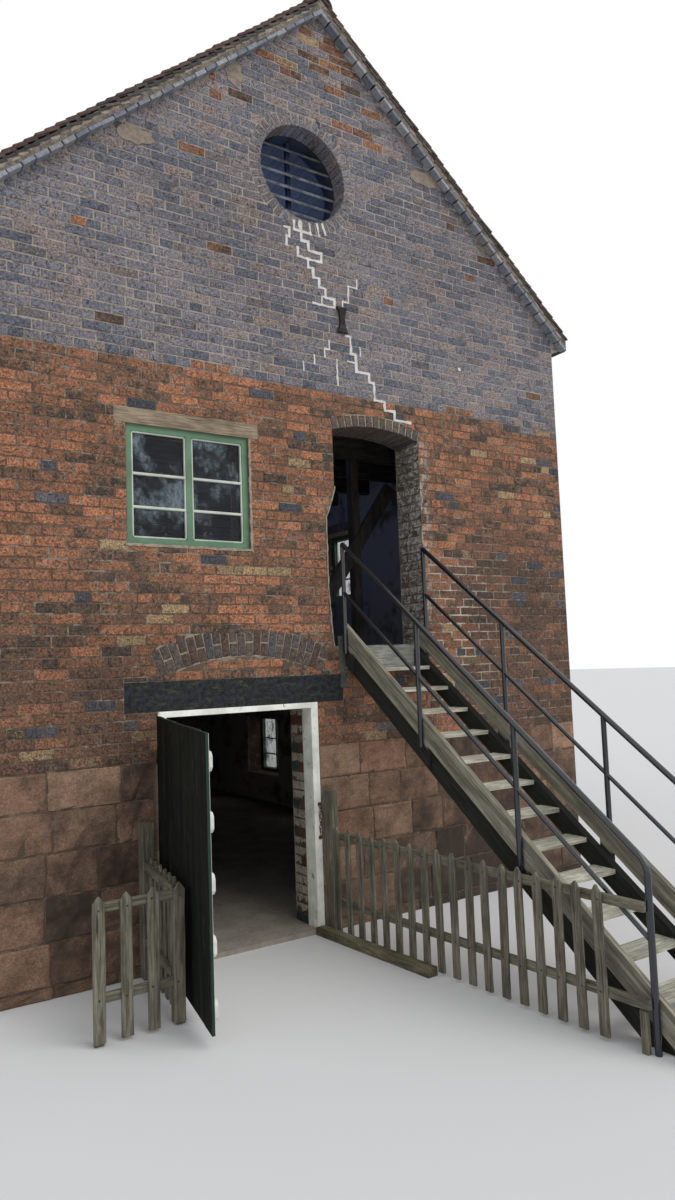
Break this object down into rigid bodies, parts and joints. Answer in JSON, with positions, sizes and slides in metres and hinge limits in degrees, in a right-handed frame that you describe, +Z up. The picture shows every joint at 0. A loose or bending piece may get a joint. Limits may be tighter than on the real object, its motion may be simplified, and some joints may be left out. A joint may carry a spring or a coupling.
{
  "type": "watermill building",
  "caption": "Gabled brick watermill building on a stone base, with a ledged ground door on a hinge, an outside timber stair to an upper doorway, tiled roof, round gable vent and picket fences.",
  "frame": {"origin": "On the ground under the middle of the building's plan", "axes": "+Z up, the gable front with its doorways faces -Y, +X to the right of a viewer who faces that front"},
  "size_m": [6.18, 12.4236, 8.2545],
  "materials": {
    "stone": "rough red-brown sandstone blocks with lime stains",
    "brick": "weathered red brick in lime mortar",
    "concrete": "worn screed",
    "mortar": "lime mortar bedding",
    "roof_tile": "dull clay tile",
    "old_timber": "old sawn timber",
    "grey_timber": "weathered bare timber",
    "dark_timber": "black painted, weathered timber",
    "tan_timber": "bleached bare timber with long cracks",
    "white_paint": "flaking white paint on timber",
    "door_paint": "black-green paint on boards",
    "green_timber": "worn green paint",
    "rail_paint": "worn dark paint on steel tube",
    "black_iron": "black painted iron",
    "glass": "old window glass"
  },
  "bodies": {
    "mill": {"front_base": "stone", "side_bases": "stone", "back_base": "stone", "front_wall_left": "brick", "front_wall_middle": "brick", "front_wall_under_door": "brick", "front_wall_over_door": "brick", "front_wall_right": "brick", "front_gable": "brick", "arch_infill": "brick", "brick_arches": "brick", "vent_rings": "brick", "left_wall": "brick", "right_wall": "brick", "back_wall": "brick", "eaves_kneelers": "brick", "ground_floor": "concrete", "timber_floors": "old_timber", "floor_joists": "old_timber", "inner_post": "old_timber", "roof_slope_left": "roof_tile", "roof_slope_right": "roof_tile", "ridge_tiles": "roof_tile", "roof_verges": "roof_tile", "eaves_gutters": "black_iron", "vent_louvres": "grey_timber", "wall_tie": "black_iron", "door_lintel": "dark_timber", "door_frame_posts": "white_paint", "door_frame_head": "white_paint", "upper_door_sill": "grey_timber", "upper_door_leaf": "green_timber", "window_frames": "green_timber", "window_glass": "glass", "window_lintels": "tan_timber", "door_pintles": "black_iron", "stair_strings": "grey_timber", "stair_treads": "grey_timber", "stair_handrails": "rail_paint", "stair_mid_rails": "rail_paint", "stair_rail_posts": "rail_paint", "right_fence": "grey_timber", "left_fence": "grey_timber", "fence_posts": "grey_timber", "gravel_board": "grey_timber"},
    "ground_door": {"door_boards": "door_paint", "door_ledges": "white_paint", "door_straps": "black_iron"}
  },
  "joints": [
    {"name": "ground_door_hinge", "type": "hinge", "parent": "mill", "child": "ground_door", "pos_m": [-1.654, -4.5245, 0.946], "axis": [0, 0, 1], "range_deg": [-1, 99]}
  ]
}
